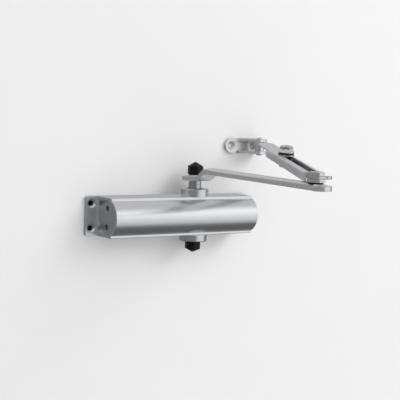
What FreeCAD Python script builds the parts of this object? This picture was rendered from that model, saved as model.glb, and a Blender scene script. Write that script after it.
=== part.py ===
"""Surface-mounted door closer with a jointed two-piece arm.

Frame: millimetres, +X along the body to the right, +Y into the surface that it is screwed to, +Z up.
The origin is at the centre of the four body screw holes, on the body's back face.
"""
import FreeCAD, Part

import math
import os

from FreeCAD import Vector

X_AXIS = Vector(1, 0, 0)
Y_AXIS = Vector(0, 1, 0)
Z_AXIS = Vector(0, 0, 1)
ORIGIN = Vector(0, 0, 0)

# Body: an extrusion of D section whose ends are milled down to mounting ears.
BODY_HEIGHT = 36.0
BODY_LENGTH = 156.2
FLAT_DEPTH = 28.9
BODY_DEPTH = 39.3
LAND_HEIGHT = 2.5
SECTION_EDGE_RADIUS = 0.5
EAR_LENGTH = 11.4
EAR_THICKNESS = 3.25
EAR_CORNER_RADIUS = 1.8
EAR_HOLE_SPACING_X = 168.0
EAR_HOLE_SPACING_Z = 22.6
SCREW_HOLE_RADIUS = 2.4
COUNTERSINK_RADIUS = 4.1

# Cylinder along the body, closed by a screwed plug at each end.
CYLINDER_Y = -21.3
CYLINDER_RADIUS = 13.5
PLUG_RADIUS = 15.5
PLUG_THREAD_GAP = 0.06
PLUG_RECESS = 0.15
LEFT_PLUG_LENGTH = 10.5
RIGHT_PLUG_LENGTH = 8.5
PLUG_NOSE_LENGTH = 4.0
SPANNER_HOLE_RADIUS = 2.65
SPANNER_HOLE_SPACING = 17.4
SPANNER_HOLE_DEPTH = 5.0
SPANNER_HOLE_TURN = 4.0
SEAL_CORD_RADIUS = 1.0
SEAL_GROOVE_DEPTH = 1.5

# Spindle with pinion teeth, its bearings, seals and screwed collars.
PINION_X = 16.6
PINION_Y = -19.75
MODULE = 1.25
PINION_TEETH = 12
PRESSURE_ANGLE = math.radians(20.0)
PINION_ADDENDUM = 0.7 * MODULE
RACK_ADDENDUM = 0.55 * MODULE
TOOTH_CLEARANCE = 0.2
BACKLASH = 0.12
GEAR_HALF_HEIGHT = 9.5
NECK_RADIUS = 5.9
SQUARE_SIZE = 8.3
SQUARE_FIT = 0.05
SPINDLE_TOP = 36.3
SPINDLE_BOTTOM = -30.5
ARM_SEAT_Z = 33.0
LOWER_SQUARE_Z = -25.5
ARM_SCREW_RADIUS = 3.0
ARM_SCREW_LENGTH = 12.0
ARM_SCREW_HEAD = 10.0
ARM_SCREW_HEAD_HEIGHT = 5.2
COLLAR_RADIUS = 13.0
COLLAR_STEM_RADIUS = 8.65
COLLAR_STEM_GAP = 0.1
TOP_COLLAR_Z = 25.4
BOTTOM_COLLAR_Z = -24.2
COLLAR_CHAMFER = 0.6
BEARING_RADIUS = 7.1
BEARING_INNER_RADIUS = 5.95
BEARING_REACH = (12.0, 19.6)
SHAFT_SEAL_RADIUS = 8.2
SHAFT_SEAL_REACH = (19.8, 23.4)

# Piston with its rack, check ball and spring.
PISTON_LEFT = -22.0
PISTON_RIGHT = 46.0
PISTON_GAP = 0.06
WINDOW_LEFT = -10.0
WINDOW_RIGHT = 32.0
WINDOW_FRONT = 9.1
SPRING_SPIGOT_RADIUS = 8.3
SPRING_SPIGOT_LENGTH = 4.0
CHECK_BALL_RADIUS = 2.4
CHECK_POCKET_RADIUS = 2.6
CHECK_POCKET_DEPTH = 7.0
CHECK_PORT_RADIUS = 1.3
CHECK_CLIP_LENGTH = 1.2
SPRING_SEAT_LENGTH = 2.0
SPRING_WIRE_RADIUS = 1.8
SPRING_OUTER_RADIUS = 12.6
SPRING_TURNS = 9

# Speed screws in the right-hand end.
VALVE_Y = -7.5
VALVE_Z = 13.2
VALVE_RADIUS = 2.45
VALVE_HOLE_RADIUS = 2.5
VALVE_LENGTH = 18.0
VALVE_RECESS = 1.2
VALVE_TIP_LENGTH = 5.0
VALVE_SLOT = (0.9, 1.2)
VALVE_SEAL_CORD_RADIUS = 0.45
VALVE_SEAL_OFFSET = 5.0
OIL_WAY_RADIUS = 1.2
OIL_WAY_LENGTH = 34.0

# Main arm: hub, crank, crowned bar and rounded end, laid out along its own length from the spindle.
ARM_ANGLE = -94.8
ARM_LENGTH = 193.0
ARM_OVERHANG = 7.2
HUB_RADIUS = 12.2
HUB_BOTTOM_Z = 33.0
HUB_TOP_Z = 36.8
BAR_BOTTOM_Z = 41.2
BAR_EDGE_Z = 44.7
BAR_CROWN_Z = 46.8
BAR_CROWN_HALF_WIDTH = 8.4
BAR_PLAN = [(0.0, 9.6), (10.0, 8.4), (20.0, 7.4), (33.0, 7.6), (55.0, 8.1), (199.0, 6.9)]
CRANK_TOP = [(8.5, 36.8), (18.7, 39.7), (25.0, 44.0), (30.5, 46.4), (36.0, 46.8)]
CRANK_UNDERSIDE = [(8.0, 33.0), (18.4, 34.8), (23.7, 37.5), (27.9, 39.8), (33.5, 41.2)]
END_RADIUS = 8.2
END_TOP_Z = 45.4
END_FLAT_START = 198.2
PIVOT_SEAT_Z = 46.0
PIVOT_SEAT_RADIUS = 6.4
ARM_WASHER_RADIUS = 6.4
ARM_WASHER_HEIGHT = 1.4

# Hexagon caps on both ends of the spindle.
CAP_FLATS = 12.9
CAP_TIP_FLATS = 1.2
CAP_MOUTH_FLATS = 11.9
CAP_MOUTH_HEIGHT = 0.9
CAP_BORE_RADIUS = 6.0
TOP_CAP_SHOULDER_Z = 46.4
TOP_CAP_TIP_Z = 50.2
BOTTOM_CAP_MOUTH_Z = -24.6
BOTTOM_CAP_SHOULDER_Z = -31.8
BOTTOM_CAP_TIP_Z = -34.9
CAP_TURN = 12.0

# Elbow: a shoulder bolt whose hexagon collar stands on a washer, with the link's eye above it.
ELBOW_WASHER_RADIUS = 5.8
ELBOW_COLLAR_FLATS = 12.9
ELBOW_COLLAR_BOTTOM_Z = 47.4
LINK_EYE_BOTTOM_Z = 50.1
LINK_EYE_TOP_Z = 52.4
RIVET_RADIUS = 2.4
RIVET_RUNNING_GAP = 0.05
ELBOW_HEAD_FLATS = 11.5
ELBOW_HEAD_HEIGHT = 3.2
ELBOW_HEX_TURN = 11.0
ELBOW_FOOT_RADIUS = 3.6
ELBOW_FOOT_HEIGHT = 1.2

# Forearm, laid out from the elbow towards the shoe, rising at a constant slope between flat eyes.
SHOE_PIN_X = 94.9
SHOE_PIN_Y = -15.0
FOREARM_SLOPE = 0.0818
WEB_TOP_AT_ELBOW_Z = 54.05
CHANNEL_WIDTH = 14.8
CHANNEL_HEIGHT = 7.8
SHEET = 2.0
CHANNEL_BEND_RADIUS = 1.6
CHANNEL_START = 8.6
CHANNEL_CORNER_RADIUS = 4.6
CHANNEL_END = 154.0
EYE_BEND = 190.0
SHOE_EYE_RADIUS = 7.3
SLOT_HALF_WIDTH = 3.7
SLOT_MOUTH_RADIUS = 1.6
CLAMP_POSITION = 105.0
LINK_THICKNESS = 2.3
LINK_WIDTH = 10.2
LINK_GAP = 0.08
LINK_DROP = 5.2
LINK_END = 114.0
EYE_RADIUS = 7.2
EYE_NOSE_RADIUS = 5.0
EYE_NOSE_REACH = 7.4
EYE_NOSE_ANGLE = -34.0
CLAMP_SLEEVE_RADIUS = 4.6

# Clamp fastener, square to the web.
CLAMP_RADIUS = 3.0
CLAMP_FIT = 0.06
FLAT_WASHER_RADIUS = 7.2
FLAT_WASHER_HEIGHT = 0.8
LOCK_WASHER_RADIUS = 6.8
LOCK_WASHER_HEIGHT = 1.9
LOCK_WASHER_TEETH = 18
LOCK_TOOTH_GAP = 0.9
BOLT_FLANGE_RADIUS = 7.1
BOLT_FLANGE_HEIGHT = 1.4
BOLT_FLATS = 10.0
BOLT_HEAD_HEIGHT = 4.6
NUT_HEIGHT = 2.6
BOLT_END = 0.6

# Wall shoe.
SHOE_Z = 65.4
SHOE_SHEET = 2.6
SHOE_HEIGHT = 14.4
SHOE_HOLE_X = 70.0
SHOE_HOLE_SPACING = 25.6
EAR_START_X = 77.5
EAR_RAMP_LENGTH = 13.0
NOTCH_WIDTH = 1.6
SHOE_RIVET_HEAD_RADIUS = 3.1
SHOE_RIVET_TOP_RADIUS = 2.6
SHOE_RIVET_HEAD_HEIGHT = 1.4
SHOE_SPACER_RADIUS = 4.6
SMALL_GAP = 0.3

# Derived places.
PINION_RADIUS = MODULE * PINION_TEETH / 2
HALF_BODY = BODY_LENGTH / 2
HALF_HEIGHT = BODY_HEIGHT / 2
ELBOW_X = PINION_X + ARM_LENGTH * math.cos(math.radians(ARM_ANGLE))
ELBOW_Y = PINION_Y + ARM_LENGTH * math.sin(math.radians(ARM_ANGLE))
FOREARM_ANGLE = math.degrees(math.atan2(SHOE_PIN_Y - ELBOW_Y, SHOE_PIN_X - ELBOW_X))
FOREARM_LENGTH = math.hypot(SHOE_PIN_Y - ELBOW_Y, SHOE_PIN_X - ELBOW_X)
FOREARM_TILT = math.degrees(math.atan(FOREARM_SLOPE))
ARM_WASHER_TOP_Z = HUB_TOP_Z + ARM_WASHER_HEIGHT
SHOE_EYE_TOP_Z = WEB_TOP_AT_ELBOW_Z + FOREARM_SLOPE * EYE_BEND


def save(node, shape):
    """Write one named piece as a STEP file."""
    if not shape.isValid():
        print("not valid:", node)
    shape.exportStep("parts/" + node + ".step")


def cylinder(radius, start, direction, length):
    return Part.makeCylinder(radius, length, start, direction)


def ring(outer, inner, start, direction, length):
    return cylinder(outer, start, direction, length).cut(cylinder(inner, start, direction, length))


def block(low, high):
    size = high.sub(low)
    return Part.makeBox(size.x, size.y, size.z, low)


def prism(points, direction):
    """Extrude the flat closed outline through the points."""
    return Part.Face(Part.makePolygon(points + [points[0]])).extrude(direction)


def hexagon(flats, centre, z, turn=0.0):
    """Closed hexagon wire at height z."""
    corner = flats / math.sqrt(3.0)
    points = []
    for step in range(7):
        angle = math.radians(turn + 60.0 * step)
        points.append(Vector(centre.x + corner * math.cos(angle), centre.y + corner * math.sin(angle), z))
    return Part.makePolygon(points)


def hexagon_prism(flats, centre, bottom, top, turn=0.0):
    return Part.Face(hexagon(flats, centre, bottom, turn)).extrude(Vector(0, 0, top - bottom))


def at_spindle(z):
    return Vector(PINION_X, PINION_Y, z)


def at_cylinder(x):
    return Vector(x, CYLINDER_Y, 0)


def round_seal(centre_radius, cord_radius, centre, direction):
    return Part.makeTorus(centre_radius, cord_radius, centre, direction)


# ---------------------------------------------------------------- body


def body_section():
    """D-shaped section at the left end of the full-height length."""
    x = -HALF_BODY
    land = HALF_HEIGHT - LAND_HEIGHT
    corners = [
        Vector(x, -FLAT_DEPTH, -land),
        Vector(x, -FLAT_DEPTH, -HALF_HEIGHT),
        Vector(x, 0, -HALF_HEIGHT),
        Vector(x, 0, HALF_HEIGHT),
        Vector(x, -FLAT_DEPTH, HALF_HEIGHT),
        Vector(x, -FLAT_DEPTH, land),
    ]
    front = Part.Arc(corners[-1], Vector(x, -BODY_DEPTH, 0), corners[0]).toShape()
    return Part.Face(Part.Wire([*Part.makePolygon(corners).Edges, front]))


def soften_section(solid):
    """Round the extrusion's long front corners."""
    chosen = []
    for edge in solid.Edges:
        middle = edge.CenterOfMass
        along = abs(edge.Length - BODY_LENGTH) < 0.01
        if along and middle.y < -FLAT_DEPTH + 0.01:
            chosen.append(edge)
    return solid.makeFillet(SECTION_EDGE_RADIUS, chosen)


def mounting_ears():
    half = HALF_BODY + EAR_LENGTH
    plate = block(Vector(-half, -EAR_THICKNESS, -HALF_HEIGHT), Vector(half, 0, HALF_HEIGHT))
    corners = [e for e in plate.Edges if abs(e.Length - EAR_THICKNESS) < 0.01]
    return plate.makeFillet(EAR_CORNER_RADIUS, corners)


def countersunk_hole(x, z, thickness):
    """Cutter for a screw hole through a plate whose back is at Y = 0."""
    straight = cylinder(SCREW_HOLE_RADIUS, Vector(x, 0.5, z), -Y_AXIS, thickness + 1.0)
    depth = COUNTERSINK_RADIUS - SCREW_HOLE_RADIUS
    front = Vector(x, -thickness, z)
    cone = Part.makeCone(COUNTERSINK_RADIUS, SCREW_HOLE_RADIUS, depth, front, Y_AXIS)
    mouth = cylinder(COUNTERSINK_RADIUS, front, -Y_AXIS, 1.0)
    return straight.fuse([cone, mouth])


def valve_ways(side):
    """Cutter for one speed screw's hole and the oil ways that it meters."""
    z = side * VALVE_Z
    mouth = Vector(HALF_BODY, VALVE_Y, z)
    bore = cylinder(VALVE_HOLE_RADIUS, mouth, -X_AXIS, VALVE_RECESS + VALVE_LENGTH)
    way = cylinder(OIL_WAY_RADIUS, mouth, -X_AXIS, VALVE_RECESS + VALVE_LENGTH + OIL_WAY_LENGTH)
    inwards = Vector(0, CYLINDER_Y - VALVE_Y, -z)
    inwards.normalize()
    cross = []
    for offset in (VALVE_LENGTH - 1.0, VALVE_LENGTH + OIL_WAY_LENGTH):
        start = mouth - X_AXIS * offset
        cross.append(cylinder(OIL_WAY_RADIUS, start, inwards, 9.0))
    return bore.fuse([way, *cross])


def body_housing():
    solid = soften_section(body_section().extrude(X_AXIS * BODY_LENGTH)).fuse(mounting_ears())
    thread_radius = PLUG_RADIUS + PLUG_THREAD_GAP
    end = HALF_BODY + 1.0
    left_depth = LEFT_PLUG_LENGTH - PLUG_NOSE_LENGTH + PLUG_RECESS + 1.0
    right_depth = RIGHT_PLUG_LENGTH - PLUG_NOSE_LENGTH + PLUG_RECESS + 1.0
    stem_hole = COLLAR_STEM_RADIUS + COLLAR_STEM_GAP
    cutters = [
        cylinder(CYLINDER_RADIUS, at_cylinder(-end), X_AXIS, 2 * end),
        cylinder(thread_radius, at_cylinder(-end), X_AXIS, left_depth),
        cylinder(thread_radius, at_cylinder(end), -X_AXIS, right_depth),
        cylinder(stem_hole, at_spindle(-HALF_HEIGHT - 1), Z_AXIS, BODY_HEIGHT + 2),
    ]
    for side in (-1, 1):
        cutters.append(valve_ways(side))
        for half in (-1, 1):
            x = side * EAR_HOLE_SPACING_X / 2
            z = half * EAR_HOLE_SPACING_Z / 2
            cutters.append(countersunk_hole(x, z, EAR_THICKNESS))
    return solid.cut(cutters).removeSplitter()


def end_plug(side, length):
    """Screwed plug with two spanner holes and a grooved nose; side is -1 for left, +1 for right."""
    outwards = X_AXIS * side
    face = at_cylinder(side * (HALF_BODY - PLUG_RECESS))
    nose_start = face - outwards * (length - PLUG_NOSE_LENGTH)
    thread = cylinder(PLUG_RADIUS, face, -outwards, length - PLUG_NOSE_LENGTH)
    nose = cylinder(CYLINDER_RADIUS - PISTON_GAP, nose_start, -outwards, PLUG_NOSE_LENGTH)
    groove_start = nose_start - outwards
    groove = ring(CYLINDER_RADIUS + 1, CYLINDER_RADIUS - SEAL_GROOVE_DEPTH, groove_start, -outwards, 2.1)
    plug = thread.fuse(nose).cut(groove)
    for half in (-1, 1):
        start = face + Z_AXIS * (half * SPANNER_HOLE_SPACING / 2)
        hole = cylinder(SPANNER_HOLE_RADIUS, start, -outwards, SPANNER_HOLE_DEPTH)
        hole.rotate(face, X_AXIS, SPANNER_HOLE_TURN)
        plug = plug.cut(hole)
    return plug.removeSplitter()


def plug_seal(side, length):
    """O-ring in the plug's groove, squeezed flat against the cylinder."""
    centre_x = side * (HALF_BODY - PLUG_RECESS - length + PLUG_NOSE_LENGTH - 1.0 - SEAL_CORD_RADIUS)
    radius = CYLINDER_RADIUS - SEAL_GROOVE_DEPTH + SEAL_CORD_RADIUS
    seal = round_seal(radius, SEAL_CORD_RADIUS, at_cylinder(centre_x), X_AXIS)
    squeeze = cylinder(CYLINDER_RADIUS - 0.02, at_cylinder(centre_x - 2), X_AXIS, 4.0)
    return seal.common(squeeze)


# ---------------------------------------------------------------- spindle and its supports


def involute_flank(base_radius, from_radius, to_radius, steps):
    """Polar points of an involute, as (radius, turn from the base circle)."""
    points = []
    for step in range(steps + 1):
        radius = from_radius + (to_radius - from_radius) * step / steps
        roll = math.sqrt(max((radius / base_radius) ** 2 - 1.0, 0.0))
        points.append((radius, roll - math.atan(roll)))
    return points


def gear_blank():
    """Pinion teeth, with one tooth pointing at the rack."""
    base = PINION_RADIUS * math.cos(PRESSURE_ANGLE)
    tip = PINION_RADIUS + PINION_ADDENDUM
    root = PINION_RADIUS - RACK_ADDENDUM - TOOTH_CLEARANCE
    flank = involute_flank(base, max(base, root), tip, 8)
    pitch_turn = math.tan(PRESSURE_ANGLE) - PRESSURE_ANGLE
    half_tooth = math.pi / (2 * PINION_TEETH) - BACKLASH / (2 * PINION_RADIUS)
    points = []
    for tooth in range(PINION_TEETH):
        middle = math.pi / 2 + tooth * 2 * math.pi / PINION_TEETH
        rising = [(radius, middle - half_tooth - pitch_turn + turn) for radius, turn in flank]
        falling = [(radius, 2 * middle - angle) for radius, angle in reversed(rising)]
        start = [(root, rising[0][1])]
        end = [(root, falling[-1][1])]
        for radius, angle in start + rising + falling + end:
            x = PINION_X + radius * math.cos(angle)
            y = PINION_Y + radius * math.sin(angle)
            points.append(Vector(x, y, -GEAR_HALF_HEIGHT))
    return prism(points, Z_AXIS * (2 * GEAR_HALF_HEIGHT))


def square_bar(size, low_z, high_z):
    half = size / 2
    bar = block(at_spindle(low_z) - Vector(half, half, 0), at_spindle(high_z) + Vector(half, half, 0))
    bar.rotate(at_spindle(0), Z_AXIS, ARM_ANGLE)
    return bar


def pinion():
    shaft = cylinder(NECK_RADIUS, at_spindle(LOWER_SQUARE_Z), Z_AXIS, ARM_SEAT_Z - LOWER_SQUARE_Z)
    upper = square_bar(SQUARE_SIZE, ARM_SEAT_Z, SPINDLE_TOP)
    lower = square_bar(SQUARE_SIZE, SPINDLE_BOTTOM, LOWER_SQUARE_Z)
    tapped = cylinder(ARM_SCREW_RADIUS, at_spindle(SPINDLE_TOP), -Z_AXIS, ARM_SCREW_LENGTH + 1)
    return shaft.fuse([gear_blank(), upper, lower]).cut(tapped).removeSplitter()


def collar(side, outer_z):
    """Screwed bearing nut; side is +1 on top and -1 underneath."""
    outwards = Z_AXIS * side
    body_face = side * HALF_HEIGHT
    flange = cylinder(COLLAR_RADIUS, at_spindle(body_face), outwards, abs(outer_z) - HALF_HEIGHT)
    rim = [e for e in flange.Edges if abs(e.CenterOfMass.z - outer_z) < 0.01]
    flange = flange.makeChamfer(COLLAR_CHAMFER, rim)
    stem = cylinder(
        COLLAR_STEM_RADIUS, at_spindle(side * BEARING_REACH[0]), outwards, HALF_HEIGHT - BEARING_REACH[0],
    )
    shape = flange.fuse(stem)
    bearing_seat = cylinder(BEARING_RADIUS, at_spindle(0), outwards, BEARING_REACH[1])
    seal_seat = cylinder(SHAFT_SEAL_RADIUS, at_spindle(side * BEARING_REACH[1]), outwards, 20.0)
    return shape.cut([bearing_seat, seal_seat]).removeSplitter()


def bearing(side):
    start, end = BEARING_REACH
    return ring(BEARING_RADIUS, BEARING_INNER_RADIUS, at_spindle(side * start), Z_AXIS * side, end - start)


def shaft_seal(side):
    """Lip seal: a ring with a dished outer face."""
    start, end = SHAFT_SEAL_REACH
    outwards = Z_AXIS * side
    seal = ring(SHAFT_SEAL_RADIUS, BEARING_INNER_RADIUS, at_spindle(side * start), outwards, end - start)
    dish = ring(
        SHAFT_SEAL_RADIUS - 0.7, BEARING_INNER_RADIUS + 0.7, at_spindle(side * (end - 1)), outwards, 2.0,
    )
    return seal.cut(dish)


def cap(mouth_z, shoulder_z, tip_z, bore_end_z):
    """Hexagon cap with a pointed end and a round bore."""
    side = 1 if tip_z > mouth_z else -1
    centre = at_spindle(0)
    chamfer_z = mouth_z + side * CAP_MOUTH_HEIGHT
    mouth = Part.makeLoft(
        [
            hexagon(CAP_MOUTH_FLATS, centre, mouth_z, CAP_TURN), hexagon(CAP_FLATS, centre, chamfer_z, CAP_TURN),
        ],
        True,
        True,
    )
    sides = hexagon_prism(CAP_FLATS, centre, chamfer_z, shoulder_z, CAP_TURN)
    point = Part.makeLoft(
        [hexagon(CAP_FLATS, centre, shoulder_z, CAP_TURN), hexagon(CAP_TIP_FLATS, centre, tip_z, CAP_TURN)],
        True,
        True,
    )
    bore = cylinder(CAP_BORE_RADIUS, at_spindle(mouth_z), Z_AXIS * side, abs(bore_end_z - mouth_z))
    return mouth.fuse([sides, point]).cut(bore).removeSplitter()


# ---------------------------------------------------------------- piston, spring and valves


def rack_gap(x):
    """Cutter for the space between two rack teeth, centred at x."""
    pitch_y = PINION_Y + PINION_RADIUS
    tip_y = pitch_y - RACK_ADDENDUM
    root_y = pitch_y + PINION_ADDENDUM + TOOTH_CLEARANCE
    half_pitch_gap = math.pi * MODULE / 4
    lean = math.tan(PRESSURE_ANGLE)
    half_tip = half_pitch_gap + RACK_ADDENDUM * lean
    half_root = half_pitch_gap - (root_y - pitch_y) * lean
    points = [
        Vector(x - half_tip, tip_y, -CYLINDER_RADIUS),
        Vector(x + half_tip, tip_y, -CYLINDER_RADIUS),
        Vector(x + half_root, root_y, -CYLINDER_RADIUS),
        Vector(x - half_root, root_y, -CYLINDER_RADIUS),
    ]
    return prism(points, Z_AXIS * (2 * CYLINDER_RADIUS))


def piston():
    radius = CYLINDER_RADIUS - PISTON_GAP
    left = PINION_X + PISTON_LEFT
    right = PINION_X + PISTON_RIGHT
    barrel = cylinder(radius, at_cylinder(left), X_AXIS, right - left)
    spigot = cylinder(
        SPRING_SPIGOT_RADIUS, at_cylinder(left - SPRING_SPIGOT_LENGTH), X_AXIS, SPRING_SPIGOT_LENGTH,
    )
    rack_tip = PINION_Y + PINION_RADIUS - RACK_ADDENDUM
    window = block(
        Vector(PINION_X + WINDOW_LEFT, PINION_Y - WINDOW_FRONT, -CYLINDER_RADIUS),
        Vector(PINION_X + WINDOW_RIGHT, rack_tip, CYLINDER_RADIUS),
    )
    pitch = math.pi * MODULE
    gaps = [rack_gap(PINION_X + pitch * step) for step in range(-2, 8)]
    pocket = cylinder(CHECK_POCKET_RADIUS, at_cylinder(PINION_X + WINDOW_RIGHT), X_AXIS, CHECK_POCKET_DEPTH)
    port = cylinder(CHECK_PORT_RADIUS, at_cylinder(PINION_X + WINDOW_RIGHT), X_AXIS, PISTON_RIGHT)
    return barrel.fuse(spigot).cut([window, pocket, port, *gaps]).removeSplitter()


def check_ball():
    x = PINION_X + WINDOW_RIGHT + CHECK_POCKET_DEPTH - CHECK_BALL_RADIUS
    return Part.makeSphere(CHECK_BALL_RADIUS, at_cylinder(x))


def check_ball_clip():
    start = at_cylinder(PINION_X + WINDOW_RIGHT)
    return ring(CHECK_POCKET_RADIUS, CHECK_PORT_RADIUS, start, X_AXIS, CHECK_CLIP_LENGTH)


def left_plug_inner_x():
    return -HALF_BODY + PLUG_RECESS + LEFT_PLUG_LENGTH


def spring_seat():
    start = at_cylinder(left_plug_inner_x())
    disc = cylinder(CYLINDER_RADIUS - 0.5, start, X_AXIS, SPRING_SEAT_LENGTH)
    centring = cylinder(SPRING_SPIGOT_RADIUS, start, X_AXIS, SPRING_SEAT_LENGTH + 3.0)
    return disc.fuse(centring).cut(cylinder(4.0, start, X_AXIS, 10.0))


def closer_spring():
    """Compression spring from the seat to the piston's shoulder, at rest length."""
    start = left_plug_inner_x() + SPRING_SEAT_LENGTH + SPRING_WIRE_RADIUS + 0.05
    end = PINION_X + PISTON_LEFT - SPRING_WIRE_RADIUS - 0.05
    coil_radius = SPRING_OUTER_RADIUS - SPRING_WIRE_RADIUS
    length = end - start
    helix = Part.makeHelix(length / SPRING_TURNS, length, coil_radius)
    section = Part.Wire(Part.makeCircle(SPRING_WIRE_RADIUS, Vector(coil_radius, 0, 0), Y_AXIS))
    coil = Part.Wire(helix.Edges).makePipeShell([section], True, True)
    coil.rotate(ORIGIN, Y_AXIS, 90)
    coil.translate(at_cylinder(start))
    return coil


def speed_valve(side):
    """Slotted screw with a tapered tip and a seal groove."""
    face = Vector(HALF_BODY - VALVE_RECESS, VALVE_Y, side * VALVE_Z)
    body = cylinder(VALVE_RADIUS, face, -X_AXIS, VALVE_LENGTH - VALVE_TIP_LENGTH)
    tip_start = face - X_AXIS * (VALVE_LENGTH - VALVE_TIP_LENGTH)
    tip = Part.makeCone(VALVE_RADIUS, 1.0, VALVE_TIP_LENGTH - SMALL_GAP, tip_start, -X_AXIS)
    width, depth = VALVE_SLOT
    slot = block(
        face - Vector(depth, VALVE_RADIUS, width / 2),
        face + Vector(1.0, VALVE_RADIUS, width / 2),
    )
    groove_start = face - X_AXIS * (VALVE_SEAL_OFFSET - VALVE_SEAL_CORD_RADIUS)
    groove_floor = VALVE_HOLE_RADIUS - 2 * VALVE_SEAL_CORD_RADIUS
    groove = ring(VALVE_RADIUS + 1, groove_floor, groove_start, -X_AXIS, 2 * VALVE_SEAL_CORD_RADIUS)
    return body.fuse(tip).cut([slot, groove]).removeSplitter()


def valve_seal(side):
    centre = Vector(HALF_BODY - VALVE_RECESS - VALVE_SEAL_OFFSET, VALVE_Y, side * VALVE_Z)
    seal = round_seal(VALVE_HOLE_RADIUS - VALVE_SEAL_CORD_RADIUS, VALVE_SEAL_CORD_RADIUS, centre, X_AXIS)
    room = cylinder(VALVE_HOLE_RADIUS - 0.02, centre - X_AXIS * 2, X_AXIS, 4.0)
    return seal.common(room)


# ---------------------------------------------------------------- main arm


def place_arm(shape):
    """Turn a shape laid out along +X from the spindle axis to the arm's direction."""
    placed = shape.copy()
    placed.rotate(ORIGIN, Z_AXIS, ARM_ANGLE)
    placed.translate(at_spindle(0))
    return placed


def smooth_edge(points, y):
    """Curve through (s, z) points that starts and ends level."""
    curve = Part.BSplineCurve()
    through = [Vector(s, y, z) for s, z in points]
    curve.interpolate(through, InitialTangent=X_AXIS, FinalTangent=X_AXIS)
    return curve.toShape()


def arm_side_outline():
    """Side view of the arm: hub, crank and bar, at the hub's near side."""
    y = -HUB_RADIUS - 1
    back = -HUB_RADIUS - 1
    tip = ARM_LENGTH + ARM_OVERHANG + END_RADIUS + 1
    heel_start, heel_end = CRANK_UNDERSIDE[0], CRANK_UNDERSIDE[-1]
    rise_start, rise_end = CRANK_TOP[0], CRANK_TOP[-1]
    corners = [
        Vector(heel_start[0], y, HUB_BOTTOM_Z),
        Vector(back, y, HUB_BOTTOM_Z),
        Vector(back, y, HUB_TOP_Z),
        Vector(rise_start[0], y, HUB_TOP_Z),
    ]
    far_corners = [
        Vector(rise_end[0], y, BAR_CROWN_Z),
        Vector(tip, y, BAR_CROWN_Z),
        Vector(tip, y, BAR_BOTTOM_Z),
        Vector(heel_end[0], y, BAR_BOTTOM_Z),
    ]
    edges = Part.makePolygon(corners).Edges + Part.makePolygon(far_corners).Edges
    edges += [smooth_edge(CRANK_TOP, y), smooth_edge(CRANK_UNDERSIDE, y)]
    return Part.Face(Part.Wire(Part.__sortEdges__(edges)))


def arm_plan():
    """Top view of the arm as a tall solid: hub, waisted bar and rounded end."""
    low = HUB_BOTTOM_Z - 5
    near_side = [Vector(s, -half, low) for s, half in BAR_PLAN]
    far_side = [Vector(s, half, low) for s, half in reversed(BAR_PLAN)]
    shank = prism(near_side + far_side, Z_AXIS * 20)
    hub = cylinder(HUB_RADIUS, Vector(0, 0, low), Z_AXIS, 20)
    end = cylinder(END_RADIUS, Vector(ARM_LENGTH + ARM_OVERHANG, 0, low), Z_AXIS, 20)
    return shank.fuse([hub, end]).removeSplitter()


def crown_envelope():
    """Everything under the bar's crowned top: flat beside the crown, arched over it."""
    x = -2 * HUB_RADIUS
    wide = 2 * HUB_RADIUS
    half = BAR_CROWN_HALF_WIDTH
    outline = [
        Vector(x, -half, BAR_EDGE_Z),
        Vector(x, -wide, BAR_EDGE_Z),
        Vector(x, -wide, 0),
        Vector(x, wide, 0),
        Vector(x, wide, BAR_EDGE_Z),
        Vector(x, half, BAR_EDGE_Z),
    ]
    crown = Part.Arc(outline[-1], Vector(x, 0, BAR_CROWN_Z), outline[0]).toShape()
    face = Part.Face(Part.Wire([*Part.makePolygon(outline).Edges, crown]))
    return face.extrude(X_AXIS * (ARM_LENGTH + 4 * HUB_RADIUS))


def main_arm():
    side = arm_side_outline().extrude(Y_AXIS * (2 * HUB_RADIUS + 2))
    blank = side.common(arm_plan()).common(crown_envelope())
    pivot = Vector(ARM_LENGTH, 0, 0)
    far = ARM_LENGTH + ARM_OVERHANG + 2 * END_RADIUS
    half = SQUARE_SIZE / 2 + SQUARE_FIT
    cutters = [
        block(Vector(END_FLAT_START, -20, END_TOP_Z), Vector(far, 20, 60)),
        cylinder(PIVOT_SEAT_RADIUS, pivot + Z_AXIS * PIVOT_SEAT_Z, Z_AXIS, 10),
        cylinder(RIVET_RADIUS, pivot, Z_AXIS, 60),
        cylinder(ELBOW_FOOT_RADIUS, pivot + Z_AXIS * BAR_BOTTOM_Z, Z_AXIS, ELBOW_FOOT_HEIGHT),
        block(Vector(-half, -half, 30), Vector(half, half, 40)),
    ]
    return place_arm(blank.cut(cutters).removeSplitter())


def arm_washer():
    return ring(ARM_WASHER_RADIUS, ARM_SCREW_RADIUS + 0.1, at_spindle(HUB_TOP_Z), Z_AXIS, ARM_WASHER_HEIGHT)


def arm_screw():
    top = ARM_WASHER_TOP_Z + ARM_SCREW_HEAD_HEIGHT
    head = hexagon_prism(ARM_SCREW_HEAD, at_spindle(0), ARM_WASHER_TOP_Z, top, CAP_TURN)
    length = ARM_WASHER_TOP_Z - SPINDLE_TOP + ARM_SCREW_LENGTH
    shank = cylinder(ARM_SCREW_RADIUS - 0.05, at_spindle(ARM_WASHER_TOP_Z), -Z_AXIS, length)
    return head.fuse(shank).removeSplitter()


# ---------------------------------------------------------------- elbow


def at_elbow(z):
    return Vector(ELBOW_X, ELBOW_Y, z)


def elbow_washer():
    height = ELBOW_COLLAR_BOTTOM_Z - PIVOT_SEAT_Z
    return ring(ELBOW_WASHER_RADIUS, RIVET_RADIUS, at_elbow(PIVOT_SEAT_Z), Z_AXIS, height)


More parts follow.
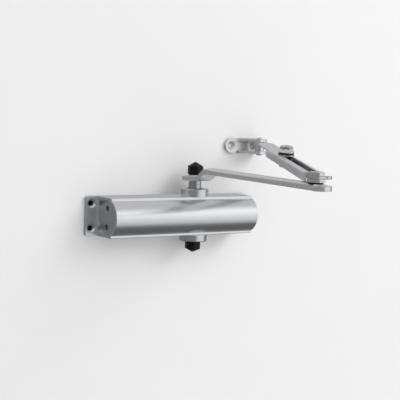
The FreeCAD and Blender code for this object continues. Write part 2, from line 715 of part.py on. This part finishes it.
def elbow_collar():
    """Hexagon spacer between the washer and the link's eye."""
    top = LINK_EYE_BOTTOM_Z - SMALL_GAP / 2
    shape = hexagon_prism(ELBOW_COLLAR_FLATS, at_elbow(0), ELBOW_COLLAR_BOTTOM_Z, top, ELBOW_HEX_TURN)
    return shape.cut(cylinder(RIVET_RADIUS, at_elbow(0), Z_AXIS, 60))


def elbow_bolt():
    """Hexagon-headed shoulder pin riveted over in the arm, with a running fit in the link's eye."""
    head_z = LINK_EYE_TOP_Z + SMALL_GAP / 2
    shank = cylinder(RIVET_RADIUS, at_elbow(BAR_BOTTOM_Z), Z_AXIS, head_z - BAR_BOTTOM_Z)
    foot = cylinder(ELBOW_FOOT_RADIUS, at_elbow(BAR_BOTTOM_Z), Z_AXIS, ELBOW_FOOT_HEIGHT)
    top = head_z + ELBOW_HEAD_HEIGHT
    head = hexagon_prism(ELBOW_HEAD_FLATS, at_elbow(0), head_z, top, ELBOW_HEX_TURN)
    slope = 2 * ELBOW_HEAD_HEIGHT
    bevel = Part.makeCone(ELBOW_HEAD_FLATS / 2 + slope, ELBOW_HEAD_FLATS / 2 - 0.4,
                          ELBOW_HEAD_HEIGHT, at_elbow(head_z), Z_AXIS)
    return shank.fuse([foot, head.common(bevel)]).removeSplitter()


# ---------------------------------------------------------------- forearm


def place_forearm(shape):
    """Turn a shape laid out along +X from the elbow axis to the forearm's direction."""
    placed = shape.copy()
    placed.rotate(ORIGIN, Z_AXIS, FOREARM_ANGLE)
    placed.translate(at_elbow(0))
    return placed


def web_top(s):
    """Height of the channel's top face at a distance s from the elbow."""
    return WEB_TOP_AT_ELBOW_Z + FOREARM_SLOPE * s


def web_normal():
    normal = Vector(-FOREARM_SLOPE, 0, 1)
    return normal.normalize()


def channel_section():
    """Inverted U section, square to X, with rounded bends; its top face is at Z = 0."""
    half = CHANNEL_WIDTH / 2
    outer = CHANNEL_BEND_RADIUS + 0.4
    inner = 0.4
    bottom = -CHANNEL_HEIGHT
    turn = math.sqrt(0.5)
    line = Part.LineSegment
    edges = []
    for side in (-1, 1):
        start = Vector(0, side * half, -outer)
        end = Vector(0, side * (half - outer), 0)
        middle = Vector(0, side * (half - outer + outer * turn), -outer + outer * turn)
        edges.append(Part.Arc(start, middle, end))
        wall = half - SHEET
        start_in = Vector(0, side * wall, -SHEET - inner)
        end_in = Vector(0, side * (wall - inner), -SHEET)
        middle_in = Vector(0, side * (wall - inner + inner * turn), -SHEET - inner + inner * turn)
        edges.append(Part.Arc(start_in, middle_in, end_in))
        edges.append(line(start, Vector(0, side * half, bottom)))
        edges.append(line(Vector(0, side * half, bottom), Vector(0, side * wall, bottom)))
        edges.append(line(Vector(0, side * wall, bottom), start_in))
    edges.append(line(Vector(0, -(half - outer), 0), Vector(0, half - outer, 0)))
    wall = half - SHEET - inner
    edges.append(line(Vector(0, -wall, -SHEET), Vector(0, wall, -SHEET)))
    return Part.Face(Part.Wire(Part.__sortEdges__([e.toShape() for e in edges])))


def flange_trim(s, corner_radius, side):
    """Cutter that rounds the flanges' lower corner at distance s; side is +1 where the flange starts."""
    z = web_top(s) - CHANNEL_HEIGHT
    half = CHANNEL_WIDTH
    size = corner_radius
    low = Vector(min(s, s + side * size), -half, z - 1)
    high = Vector(max(s, s + side * size), half, z + size)
    centre = Vector(s + side * size, -half, z + size)
    return block(low - Vector(1, 0, 1), high).cut(cylinder(size, centre, Y_AXIS, 2 * half))


def flat_strip(points, thickness, width):
    """Bar of constant thickness whose top follows the points (s, z), across the given width."""
    top = [Vector(s, -width / 2, z) for s, z in points]
    bottom = [point - Z_AXIS * thickness for point in reversed(top)]
    return prism(top + bottom, Y_AXIS * width)


def slot_cutter():
    """Slot through the web, open at the elbow end, with rounded lips at its mouth."""
    low = web_top(0) - 2 * CHANNEL_HEIGHT
    far_end = cylinder(SLOT_HALF_WIDTH, Vector(CLAMP_POSITION, 0, low), Z_AXIS, 50)
    run = block(
        Vector(CHANNEL_START - 5, -SLOT_HALF_WIDTH, low), Vector(CLAMP_POSITION, SLOT_HALF_WIDTH, low + 50),
    )
    lip = SLOT_HALF_WIDTH + SLOT_MOUTH_RADIUS
    lip_s = CHANNEL_START + SLOT_MOUTH_RADIUS
    mouth = block(Vector(CHANNEL_START - 5, -lip, low), Vector(lip_s, lip, low + 50))
    rounds = [cylinder(SLOT_MOUTH_RADIUS, Vector(lip_s, side * lip, low), Z_AXIS, 50) for side in (-1, 1)]
    return run.fuse(far_end).fuse(mouth.cut(rounds))


def elbow_end_corners():
    """Cutter that rounds the channel's two corners at the elbow end, seen from above."""
    low = web_top(0) - 2 * CHANNEL_HEIGHT
    half = CHANNEL_WIDTH / 2
    radius = CHANNEL_CORNER_RADIUS
    cutters = []
    for side in (-1, 1):
        outer = side * (half + 1)
        inner = side * (half - radius)
        corner = block(
            Vector(CHANNEL_START - 1, min(outer, inner), low),
            Vector(CHANNEL_START + radius, max(outer, inner), low + 50),
        )
        round_centre = Vector(CHANNEL_START + radius, inner, low)
        cutters.append(corner.cut(cylinder(radius, round_centre, Z_AXIS, 50)))
    return cutters


def forearm_channel():
    run = CHANNEL_END - CHANNEL_START
    section = channel_section()
    section.translate(Vector(CHANNEL_START, 0, web_top(CHANNEL_START)))
    channel = section.extrude(Vector(run, 0, run * FOREARM_SLOPE))
    trims = [flange_trim(CHANNEL_START, 3.6, 1), flange_trim(CHANNEL_END, 2.6, -1), *elbow_end_corners()]
    neck_points = [
        (CHANNEL_END - 2.0, web_top(CHANNEL_END - 2.0)),
        (EYE_BEND, SHOE_EYE_TOP_Z),
        (FOREARM_LENGTH, SHOE_EYE_TOP_Z),
    ]
    neck = flat_strip(neck_points, SHEET, 2 * SHOE_EYE_RADIUS)
    eye_start = Vector(FOREARM_LENGTH, 0, SHOE_EYE_TOP_Z - SHEET)
    eye = cylinder(SHOE_EYE_RADIUS, eye_start, Z_AXIS, SHEET)
    hole_radius = RIVET_RADIUS + RIVET_RUNNING_GAP
    hole = cylinder(hole_radius, eye_start - Z_AXIS * 5, Z_AXIS, 12)
    shape = channel.cut(trims).fuse([neck, eye]).cut([slot_cutter(), hole])
    return place_forearm(shape.removeSplitter())


def link_top(s):
    """Height of the inner link's top face, which runs low in the channel."""
    return web_top(s) - LINK_DROP


def clamp_point(height):
    """Point on the clamp bolt's axis at a height above the web's top face."""
    return Vector(CLAMP_POSITION, 0, web_top(CLAMP_POSITION)) + web_normal() * height


def link_seat_depth():
    """Distance from the web's top face to the link's top face, square to them."""
    return LINK_DROP * math.cos(math.radians(FOREARM_TILT))


def link_eye():
    """Eye plate with a stop nose on its outer side."""
    eye = cylinder(EYE_RADIUS, Vector(0, 0, LINK_EYE_BOTTOM_Z), Z_AXIS, LINK_EYE_TOP_Z - LINK_EYE_BOTTOM_Z)
    turn = math.radians(EYE_NOSE_ANGLE - FOREARM_ANGLE)
    direction = Vector(math.cos(turn), math.sin(turn), 0)
    across = Vector(-direction.y, direction.x, 0)
    base = Vector(0, 0, LINK_EYE_BOTTOM_Z)
    tip = base + direction * EYE_NOSE_REACH
    height = Z_AXIS * (LINK_EYE_TOP_Z - LINK_EYE_BOTTOM_Z)
    web = prism(
        [
            base + across * EYE_RADIUS,
            base - across * EYE_RADIUS,
            tip - across * EYE_NOSE_RADIUS,
            tip + across * EYE_NOSE_RADIUS,
        ],
        height,
    )
    nose = cylinder(EYE_NOSE_RADIUS, tip, Z_AXIS, LINK_EYE_TOP_Z - LINK_EYE_BOTTOM_Z)
    return eye.fuse([web, nose])


def forearm_link():
    """Inner link: an eye at the elbow, a low bar in the channel, and a sleeve up to the web."""
    bend = (LINK_EYE_TOP_Z - link_top(0)) / FOREARM_SLOPE
    points = [(0, LINK_EYE_TOP_Z), (bend, LINK_EYE_TOP_Z), (LINK_END, link_top(LINK_END))]
    bar = flat_strip(points, LINK_THICKNESS, LINK_WIDTH)
    sleeve_length = link_seat_depth() - SHEET - LINK_GAP
    sleeve = cylinder(
        CLAMP_SLEEVE_RADIUS, clamp_point(-link_seat_depth() - 0.5), web_normal(), sleeve_length + 0.5,
    )
    pin_hole = cylinder(RIVET_RADIUS + RIVET_RUNNING_GAP, Vector(0, 0, 0), Z_AXIS, 80)
    bolt_hole = cylinder(CLAMP_RADIUS + 0.2, clamp_point(-20), web_normal(), 30)
    return place_forearm(bar.fuse([link_eye(), sleeve]).cut([pin_hole, bolt_hole]).removeSplitter())


def clamp_flat_washer():
    return place_forearm(
        ring(
            FLAT_WASHER_RADIUS, CLAMP_RADIUS + CLAMP_FIT, clamp_point(SMALL_GAP / 5), web_normal(), FLAT_WASHER_HEIGHT,
        )
    )


def clamp_lock_washer():
    """Toothed lock washer: a ring with notches round its rim."""
    start = SMALL_GAP / 5 + FLAT_WASHER_HEIGHT
    washer = ring(
        LOCK_WASHER_RADIUS, CLAMP_RADIUS + CLAMP_FIT, clamp_point(start), web_normal(), LOCK_WASHER_HEIGHT,
    )
    notches = []
    for tooth in range(LOCK_WASHER_TEETH):
        notch = block(
            Vector(LOCK_WASHER_RADIUS - 1.4, -LOCK_TOOTH_GAP / 2, -1), Vector(20, LOCK_TOOTH_GAP / 2, 2),
        )
        notch.rotate(ORIGIN, Z_AXIS, tooth * 360.0 / LOCK_WASHER_TEETH)
        notch.rotate(ORIGIN, Y_AXIS, -FOREARM_TILT)
        notch.translate(clamp_point(start))
        notches.append(notch)
    return place_forearm(washer.cut(notches))


def clamp_bolt():
    """Flanged hexagon bolt through the slot and the link."""
    seat = SMALL_GAP / 5 + FLAT_WASHER_HEIGHT + LOCK_WASHER_HEIGHT
    end = -(link_seat_depth() + LINK_THICKNESS + NUT_HEIGHT + BOLT_END)
    shank = cylinder(CLAMP_RADIUS, ORIGIN + Z_AXIS * end, Z_AXIS, seat - end)
    flange = Part.makeCone(
        BOLT_FLANGE_RADIUS, BOLT_FLATS / 2, BOLT_FLANGE_HEIGHT + 1.2, Z_AXIS * (seat + 0.6), Z_AXIS,
    )
    flange = flange.fuse(cylinder(BOLT_FLANGE_RADIUS, Z_AXIS * seat, Z_AXIS, 0.6))
    top = seat + BOLT_FLANGE_HEIGHT + BOLT_HEAD_HEIGHT
    head = hexagon_prism(BOLT_FLATS, ORIGIN, seat, top, 14.0)
    bevel = Part.makeCone(BOLT_FLATS * 0.92, BOLT_FLATS * 0.47, 4.4, Z_AXIS * (top - 4.4), Z_AXIS)
    envelope = cylinder(BOLT_FLATS, Z_AXIS * (seat - 1), Z_AXIS, top - 4.4 - seat + 1).fuse(bevel)
    bolt = shank.fuse([flange, head.common(envelope)])
    bolt.rotate(ORIGIN, Y_AXIS, -FOREARM_TILT)
    bolt.translate(clamp_point(0))
    return place_forearm(bolt.removeSplitter())


def clamp_nut():
    top = -(link_seat_depth() + LINK_THICKNESS)
    nut = hexagon_prism(BOLT_FLATS, ORIGIN, top - NUT_HEIGHT, top, 0.0)
    nut = nut.cut(cylinder(CLAMP_RADIUS + CLAMP_FIT, Z_AXIS * (top - 10), Z_AXIS, 20))
    nut.rotate(ORIGIN, Y_AXIS, -FOREARM_TILT)
    nut.translate(clamp_point(0))
    return place_forearm(nut)


# ---------------------------------------------------------------- shoe


def shoe_bracket():
    """Wall plate with a round end, and two ears bent forward round the forearm's eye."""
    low = SHOE_Z - SHOE_HEIGHT / 2
    high = SHOE_Z + SHOE_HEIGHT / 2
    radius = SHOE_HEIGHT / 2
    right = SHOE_PIN_X + radius
    plate = block(Vector(SHOE_HOLE_X, -SHOE_SHEET, low), Vector(right, 0, high))
    plate = plate.fuse(cylinder(radius, Vector(SHOE_HOLE_X, 0, SHOE_Z), -Y_AXIS, SHOE_SHEET))
    ear_outline = prism(
        [
            Vector(EAR_START_X, 0, low),
            Vector(right, 0, low),
            Vector(right, SHOE_PIN_Y, low),
            Vector(SHOE_PIN_X, SHOE_PIN_Y - radius, low),
            Vector(EAR_START_X + EAR_RAMP_LENGTH, SHOE_PIN_Y - radius, low),
            Vector(EAR_START_X, -SHOE_SHEET - 1.2, low),
        ],
        Z_AXIS * SHOE_HEIGHT,
    )
    ear_outline = ear_outline.fuse(
        cylinder(radius, Vector(SHOE_PIN_X, SHOE_PIN_Y, low), Z_AXIS, SHOE_HEIGHT),
    )
    room = block(
        Vector(EAR_START_X - 5, -40, low + SHOE_SHEET),
        Vector(right + 5, -SHOE_SHEET, high - SHOE_SHEET),
    )
    shape = plate.fuse(ear_outline).cut(room)
    cutters = []
    for edge_z in (low, high):
        notch = Vector(EAR_START_X - NOTCH_WIDTH / 2, 1, edge_z)
        cutters.append(cylinder(NOTCH_WIDTH, notch, -Y_AXIS, SHOE_SHEET + 5))
    for step in (0, 1):
        cutters.append(countersunk_hole(SHOE_HOLE_X + step * SHOE_HOLE_SPACING, SHOE_Z, SHOE_SHEET))
    cutters.append(cylinder(RIVET_RADIUS, Vector(SHOE_PIN_X, SHOE_PIN_Y, low - 1), Z_AXIS, SHOE_HEIGHT + 2))
    return shape.cut(cutters).removeSplitter()


def shoe_rivet():
    low = SHOE_Z - SHOE_HEIGHT / 2
    high = SHOE_Z + SHOE_HEIGHT / 2
    axis = Vector(SHOE_PIN_X, SHOE_PIN_Y, 0)
    shank = cylinder(RIVET_RADIUS, axis + Z_AXIS * low, Z_AXIS, SHOE_HEIGHT)
    foot = cylinder(SHOE_RIVET_HEAD_RADIUS, axis + Z_AXIS * low, -Z_AXIS, SHOE_RIVET_HEAD_HEIGHT)
    top = cylinder(SHOE_RIVET_TOP_RADIUS, axis + Z_AXIS * high, Z_AXIS, SHOE_RIVET_HEAD_HEIGHT)
    foot_rim = [e for e in foot.Edges if e.CenterOfMass.z < low - SHOE_RIVET_HEAD_HEIGHT + 0.01]
    top_rim = [e for e in top.Edges if e.CenterOfMass.z > high + SHOE_RIVET_HEAD_HEIGHT - 0.01]
    return shank.fuse([foot.makeFillet(0.8, foot_rim), top.makeFillet(0.8, top_rim)]).removeSplitter()


def shoe_spacer():
    """Sleeve that holds the forearm's eye up against the top ear."""
    start = SHOE_Z - SHOE_HEIGHT / 2 + SHOE_SHEET
    height = SHOE_EYE_TOP_Z - SHEET - SMALL_GAP / 2 - start
    return ring(SHOE_SPACER_RADIUS, RIVET_RADIUS, Vector(SHOE_PIN_X, SHOE_PIN_Y, start), Z_AXIS, height)


# ---------------------------------------------------------------- all pieces


def all_pieces():
    return {
        "body_housing": body_housing(),
        "left_end_plug": end_plug(-1, LEFT_PLUG_LENGTH),
        "right_end_plug": end_plug(1, RIGHT_PLUG_LENGTH),
        "left_plug_seal": plug_seal(-1, LEFT_PLUG_LENGTH),
        "right_plug_seal": plug_seal(1, RIGHT_PLUG_LENGTH),
        "top_collar": collar(1, TOP_COLLAR_Z),
        "bottom_collar": collar(-1, BOTTOM_COLLAR_Z),
        "top_bearing": bearing(1),
        "bottom_bearing": bearing(-1),
        "top_shaft_seal": shaft_seal(1),
        "bottom_shaft_seal": shaft_seal(-1),
        "closing_valve": speed_valve(1),
        "latching_valve": speed_valve(-1),
        "closing_valve_seal": valve_seal(1),
        "latching_valve_seal": valve_seal(-1),
        "pinion": pinion(),
        "piston": piston(),
        "check_ball": check_ball(),
        "check_ball_clip": check_ball_clip(),
        "spring_seat": spring_seat(),
        "closer_spring": closer_spring(),
        "main_arm": main_arm(),
        "arm_washer": arm_washer(),
        "arm_screw": arm_screw(),
        "top_cap": cap(ARM_WASHER_TOP_Z, TOP_CAP_SHOULDER_Z, TOP_CAP_TIP_Z, TOP_CAP_SHOULDER_Z - 1.0),
        "bottom_cap": cap(
            BOTTOM_CAP_MOUTH_Z, BOTTOM_CAP_SHOULDER_Z, BOTTOM_CAP_TIP_Z, BOTTOM_CAP_SHOULDER_Z + 0.5,
        ),
        "elbow_washer": elbow_washer(),
        "elbow_collar": elbow_collar(),
        "elbow_bolt": elbow_bolt(),
        "forearm_link": forearm_link(),
        "forearm_channel": forearm_channel(),
        "clamp_flat_washer": clamp_flat_washer(),
        "clamp_lock_washer": clamp_lock_washer(),
        "clamp_bolt": clamp_bolt(),
        "clamp_nut": clamp_nut(),
        "shoe_bracket": shoe_bracket(),
        "shoe_rivet": shoe_rivet(),
        "shoe_spacer": shoe_spacer(),
    }


os.makedirs("parts", exist_ok=True)
for node_name, piece in all_pieces().items():
    save(node_name, piece)
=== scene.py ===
"""Looks, light and camera for the door closer."""

import math

import bpy
from mathutils import Matrix, Vector

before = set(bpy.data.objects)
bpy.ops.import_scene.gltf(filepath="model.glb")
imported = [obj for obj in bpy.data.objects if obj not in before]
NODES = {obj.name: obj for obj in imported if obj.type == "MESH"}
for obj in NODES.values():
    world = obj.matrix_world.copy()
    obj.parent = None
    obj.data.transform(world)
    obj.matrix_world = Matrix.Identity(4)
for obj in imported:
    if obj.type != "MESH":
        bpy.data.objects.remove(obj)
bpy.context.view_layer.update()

# Places and sizes in metres, in the frame's own axes.
# The black discs behind the screw holes are painted shade for the holes' dark depth.
WALL_Y = 0.0006
HOLE_SHADE_Y = 0.0004
HOLE_SHADE_RADIUS = 0.0032
SCREW_X = 0.084
SCREW_Z = 0.0113
FLOOR_Z = -0.6
CAMERA_POSITION = (-0.5426, -0.8411, 0.1049)

# The camera's lens and sensor in millimetres, and its angles.
LENS_LENGTH = 95.06
SENSOR_WIDTH = 36.0
VIEW_YAW = math.radians(34.56)
VIEW_PITCH = math.radians(5.2)
VIEW_ROLL = math.radians(2.33)


# ---------------------------------------------------------------- material helpers


def new_material(name):
    material = bpy.data.materials.new(name)
    material.use_nodes = True
    tree = material.node_tree
    shader = next(n for n in tree.nodes if n.type == "BSDF_PRINCIPLED")
    return material, tree, shader


def add(tree, kind, **values):
    node = tree.nodes.new(kind)
    for key, value in values.items():
        if key in node.inputs:
            node.inputs[key].default_value = value
        else:
            setattr(node, key, value)
    return node


def place_noise(tree, scale, detail, stretch=(1, 1, 1), turn=0.0, seed=0.0):
    """Noise fixed to the piece's own coordinates, stretched to make grain or brush lines."""
    coords = add(tree, "ShaderNodeTexCoord")
    mapping = add(tree, "ShaderNodeMapping")
    mapping.inputs["Scale"].default_value = stretch
    mapping.inputs["Rotation"].default_value = (0, 0, turn)
    mapping.inputs["Location"].default_value = (seed, seed * 0.7, seed * 1.3)
    noise = add(tree, "ShaderNodeTexNoise", Scale=scale, Detail=detail, Roughness=0.6)
    tree.links.new(coords.outputs["Object"], mapping.inputs["Vector"])
    tree.links.new(mapping.outputs["Vector"], noise.inputs["Vector"])
    return noise


def ramp(tree, source, stops):
    node = add(tree, "ShaderNodeValToRGB")
    elements = node.color_ramp.elements
    while len(elements) < len(stops):
        elements.new(0.5)
    for element, (position, colour) in zip(elements, stops):
        element.position = position
        element.color = (*colour, 1.0)
    tree.links.new(source, node.inputs["Fac"])
    return node


def grey(value):
    return (value, value, value)


def map_range(tree, source, given, wanted, **values):
    """Carry the source from one (low, high) span to another."""
    node = add(tree, "ShaderNodeMapRange", **values)
    for name, value in zip(("From Min", "From Max", "To Min", "To Max"), (*given, *wanted)):
        node.inputs[name].default_value = value
    tree.links.new(source, node.inputs["Value"])
    return node.outputs["Result"]


def multiply(tree, first, second):
    """Multiply two colours."""
    mixed = add(tree, "ShaderNodeMix", data_type="RGBA", blend_type="MULTIPLY")
    mixed.inputs[0].default_value = 1.0
    tree.links.new(first, mixed.inputs[6])
    tree.links.new(second, mixed.inputs[7])
    return mixed.outputs[2]


def paint_shade_beyond(tree, colour, start, end):
    """Paint shade onto the colour: blacken it from one end of the piece onwards, as a share of its own
    length in Y.
    """
    coords = add(tree, "ShaderNodeTexCoord")
    split = add(tree, "ShaderNodeSeparateXYZ")
    tree.links.new(coords.outputs["Generated"], split.inputs["Vector"])
    painted_shade_ramp = ramp(tree, split.outputs["Y"], [(start, grey(1.0)), (end, grey(0.035))])
    return multiply(tree, colour, painted_shade_ramp.outputs["Color"])


def surface(name, colour, metallic, roughness, grain=(900, 4, (1, 1, 1)), tone=0.06, bump=0.02,
            rough_spread=0.06, edge=0.0003, coat=0.0, specular=0.5, turn=0.0, mottle=0.0, painted_shade_from=None):
    """A material with fine grain in its colour, roughness and bump, softened edges, and, when asked,
    painted shade blackening it along its length.
    """
    material, tree, shader = new_material(name)
    scale, detail, stretch = grain
    fine = place_noise(tree, scale, detail, stretch, turn)
    low = tuple(max(c * (1 - tone), 0) for c in colour)
    high = tuple(min(c * (1 + tone), 1) for c in colour)
    tint = ramp(tree, fine.outputs["Fac"], [(0.3, low), (0.7, high)])
    last = tint.outputs["Color"]
    if mottle:
        broad = place_noise(tree, 45, 3, seed=0.31)
        patches = ramp(tree, broad.outputs["Fac"], [(0.3, grey(1 - mottle)), (0.7, grey(1.0))])
        last = multiply(tree, last, patches.outputs["Color"])
    # Painted shade: blacken the colour along the piece's length.
    if painted_shade_from:
        last = paint_shade_beyond(tree, last, *painted_shade_from)
    tree.links.new(last, shader.inputs["Base Color"])
    rough_span = (max(roughness - rough_spread, 0.02), roughness + rough_spread)
    rough = map_range(tree, fine.outputs["Fac"], (0.25, 0.75), rough_span)
    tree.links.new(rough, shader.inputs["Roughness"])
    shader.inputs["Metallic"].default_value = metallic
    shader.inputs["Coat Weight"].default_value = coat
    shader.inputs["Coat Roughness"].default_value = 0.15
    shader.inputs["Specular IOR Level"].default_value = specular
    bevel = add(tree, "ShaderNodeBevel", samples=6)
    bevel.inputs["Radius"].default_value = edge
    relief = add(tree, "ShaderNodeBump")
    relief.inputs["Strength"].default_value = bump
    relief.inputs["Distance"].default_value = 0.0002
    tree.links.new(fine.outputs["Fac"], relief.inputs["Height"])
    tree.links.new(bevel.outputs["Normal"], relief.inputs["Normal"])
    tree.links.new(relief.outputs["Normal"], shader.inputs["Normal"])
    return material


def dress(material, *names):
    """Give the CAD nodes a material in every one of their slots."""
    for name in names:
        mesh = NODES[name].data
        if not mesh.materials:
            mesh.materials.append(material)
        for index in range(len(mesh.materials)):
            mesh.materials[index] = material


# ---------------------------------------------------------------- materials

ALONG_BODY = (0.02, 1, 1)

aluminium = surface("satin_anodised_aluminium", (0.83, 0.84, 0.86), 1.0, 0.30,
                    grain=(1500, 5, ALONG_BODY), tone=0.035, bump=0.05, rough_spread=0.05,
                    edge=0.0004, mottle=0.03)
plug = surface("turned_plug_aluminium", (0.64, 0.65, 0.67), 1.0, 0.34,
               grain=(1400, 4, (1, 1, 1)), tone=0.05, bump=0.05, edge=0.0003, mottle=0.05)
collar = surface("turned_collar_steel", (0.72, 0.73, 0.75), 1.0, 0.24,
                 grain=(1500, 4, (1, 1, 0.02)), tone=0.06, bump=0.05, edge=0.0004)
spindle = surface("ground_spindle_steel", (0.50, 0.50, 0.52), 1.0, 0.16,
                  grain=(1500, 3, (1, 1, 0.05)), tone=0.06, bump=0.03, edge=0.0002)
arm = surface("silver_painted_arm", (0.80, 0.80, 0.81), 0.88, 0.28,
              grain=(2600, 3, (1, 1, 1)), tone=0.05, bump=0.06, edge=0.0006, coat=0.15, mottle=0.04)
forearm = surface("silver_painted_forearm", (0.80, 0.80, 0.82), 0.82, 0.29,
                  grain=(2600, 3, (1, 1, 1)), tone=0.05, bump=0.05, edge=0.0005, coat=0.15, mottle=0.03)
# The link is blackened beyond its elbow eye: painted shade for the length that lies in the channel's
# shadow under the slot.
link = surface("link_steel_painted_shade", (0.70, 0.70, 0.71), 1.0, 0.28,
               grain=(1400, 4, (1, 1, 1)), tone=0.06, bump=0.04, edge=0.0004, specular=0.2,
               painted_shade_from=(0.15, 0.18))
plated = surface("zinc_plated_steel", (0.80, 0.80, 0.79), 1.0, 0.20,
                 grain=(1100, 4, (1, 1, 1)), tone=0.07, bump=0.03, edge=0.0003, mottle=0.06)
blackened = surface("blackened_washer_steel", (0.06, 0.06, 0.065), 0.8, 0.40,
                    grain=(1500, 4, (1, 1, 1)), tone=0.3, bump=0.08, edge=0.0002)
black = surface("black_nylon", (0.005, 0.005, 0.006), 0.0, 0.40,
                grain=(1800, 3, (1, 1, 1)), tone=0.25, bump=0.05, edge=0.0005, specular=0.22)
rubber = surface("black_rubber", (0.02, 0.02, 0.02), 0.0, 0.7,
                 grain=(1200, 3, (1, 1, 1)), tone=0.3, bump=0.1, edge=0.0002)
bronze = surface("sintered_bronze", (0.55, 0.38, 0.18), 1.0, 0.4,
                 grain=(1600, 5, (1, 1, 1)), tone=0.2, bump=0.1, edge=0.0002)
machined = surface("machined_inner_steel", (0.48, 0.48, 0.50), 1.0, 0.3,
                   grain=(1200, 4, (0.05, 1, 1)), tone=0.08, bump=0.06, edge=0.0003)

dress(aluminium, "body_housing")
dress(plug, "left_end_plug", "right_end_plug")
dress(collar, "top_collar", "bottom_collar")
dress(spindle, "pinion")
dress(arm, "main_arm")
dress(forearm, "forearm_channel", "shoe_bracket")
dress(link, "forearm_link")
dress(plated, "arm_washer", "arm_screw", "clamp_flat_washer", "clamp_bolt", "clamp_nut", "elbow_bolt",
      "elbow_collar", "shoe_rivet", "shoe_spacer")
dress(blackened, "clamp_lock_washer")
dress(black, "top_cap", "bottom_cap", "elbow_washer")
dress(rubber, "left_plug_seal", "right_plug_seal", "top_shaft_seal", "bottom_shaft_seal",
      "closing_valve_seal", "latching_valve_seal")
dress(bronze, "top_bearing", "bottom_bearing")
dress(machined, "piston", "check_ball", "check_ball_clip", "spring_seat", "closer_spring",
      "closing_valve", "latching_valve")


# ---------------------------------------------------------------- stage, light and camera


def stage_plane(name, centre, size, rotation, colour):
    bpy.ops.mesh.primitive_plane_add(size=1, location=centre, rotation=rotation)
    plane = bpy.context.object
    plane.name = name
    plane.scale = (*size, 1)
    material, tree, shader = new_material(name + "_paint")
    noise = place_noise(tree, 60, 3)
    low = tuple(c * 0.985 for c in colour)
    tint = ramp(tree, noise.outputs["Fac"], [(0.3, low), (0.7, colour)])
    tree.links.new(tint.outputs["Color"], shader.inputs["Base Color"])
    shader.inputs["Roughness"].default_value = 0.9
    shader.inputs["Specular IOR Level"].default_value = 0.1
    plane.data.materials.append(material)
    return plane


def area_light(name, position, target, size, power, colour=(1, 1, 1)):
    data = bpy.data.lights.new(name, "AREA")
    data.shape = "RECTANGLE"
    data.size, data.size_y = size
    data.energy = power
    data.color = colour
    light = bpy.data.objects.new(name, data)
    light.location = position
    aim = Vector(target) - Vector(position)
    light.rotation_euler = aim.to_track_quat("-Z", "Y").to_euler()
    bpy.context.scene.collection.objects.link(light)
    return light


wall = stage_plane("wall", (0, WALL_Y, 0), (6, 6), (math.radians(90), 0, 0), (0.86, 0.86, 0.865))
wall.visible_glossy = False
floor = stage_plane("floor", (0, -2.0, FLOOR_Z), (8, 8), (0, 0, 0), (0.85, 0.85, 0.85))
floor.visible_glossy = False



def paint_hole_shade(index, x, z):
    """A black disc on the wall behind one of the body's screw holes: painted shade standing in for the
    dark depth of the hole.
    """
    bpy.ops.mesh.primitive_circle_add(vertices=48, radius=HOLE_SHADE_RADIUS, fill_type="NGON",
                                      location=(x, HOLE_SHADE_Y, z), rotation=(math.radians(90), 0, 0))
    disc = bpy.context.object
    disc.name = "painted_hole_shade_%d" % index
    material, _, shader = new_material(disc.name + "_shade")
    shader.inputs["Base Color"].default_value = (0.01, 0.01, 0.01, 1)
    shader.inputs["Roughness"].default_value = 0.9
    shader.inputs["Specular IOR Level"].default_value = 0.1
    disc.data.materials.append(material)


# Painted shade: a black disc behind each of the four screw holes.
hole_shade_spots = [(side_x * SCREW_X, side_z * SCREW_Z) for side_x in (-1, 1) for side_z in (-1, 1)]
for index, (x, z) in enumerate(hole_shade_spots):
    paint_hole_shade(index, x, z)

wash = area_light("wall_wash", (1.1, -1.3, 1.1), (0, 0, 0), (1.0, 1.0), 14)
wash.visible_glossy = False
fill = area_light("soft_fill", (-0.2, -2.2, 0.5), (0, 0, 0), (2.4, 2.4), 8)
fill.visible_glossy = False


def studio_world():
    """Grey studio: darker below and behind, with one broad soft panel to the front right."""
    world = bpy.data.worlds.new("studio")
    world.use_nodes = True
    tree = world.node_tree
    background = tree.nodes["Background"]
    coords = add(tree, "ShaderNodeTexCoord")
    split = add(tree, "ShaderNodeSeparateXYZ")
    tree.links.new(coords.outputs["Generated"], split.inputs["Vector"])
    height = map_range(tree, split.outputs["Z"], (-0.35, 0.45), (0.12, 0.58),
                       interpolation_type="SMOOTHSTEP")
    panel_axis = Vector((0.60, -0.80, 0.0)).normalized()
    facing = add(tree, "ShaderNodeVectorMath", operation="DOT_PRODUCT")
    facing.inputs[1].default_value = panel_axis
    tree.links.new(coords.outputs["Generated"], facing.inputs[0])
    panel = map_range(tree, facing.outputs["Value"], (0.62, 0.95), (0.0, 0.60),
                      interpolation_type="SMOOTHSTEP")
    total = add(tree, "ShaderNodeMath", operation="ADD")
    tree.links.new(height, total.inputs[0])
    tree.links.new(panel, total.inputs[1])
    tree.links.new(total.outputs["Value"], background.inputs["Color"])
    background.inputs["Strength"].default_value = 1.0
    return world


bpy.context.scene.world = studio_world()

forward = Vector((math.sin(VIEW_YAW) * math.cos(VIEW_PITCH), math.cos(VIEW_YAW) * math.cos(VIEW_PITCH),
                  -math.sin(VIEW_PITCH)))
level_right = Vector((math.cos(VIEW_YAW), -math.sin(VIEW_YAW), 0))
level_up = level_right.cross(forward)
right = math.cos(VIEW_ROLL) * level_right + math.sin(VIEW_ROLL) * level_up
up = right.cross(forward)
camera_data = bpy.data.cameras.new("camera")
camera_data.lens = LENS_LENGTH
camera_data.sensor_width = SENSOR_WIDTH
camera = bpy.data.objects.new("camera", camera_data)
turn = Matrix((right, up, -forward)).transposed().to_4x4()
camera.matrix_world = Matrix.Translation(CAMERA_POSITION) @ turn
bpy.context.scene.collection.objects.link(camera)
bpy.context.scene.camera = camera

bpy.context.scene.view_settings.view_transform = "Standard"

bpy.context.view_layer.update()
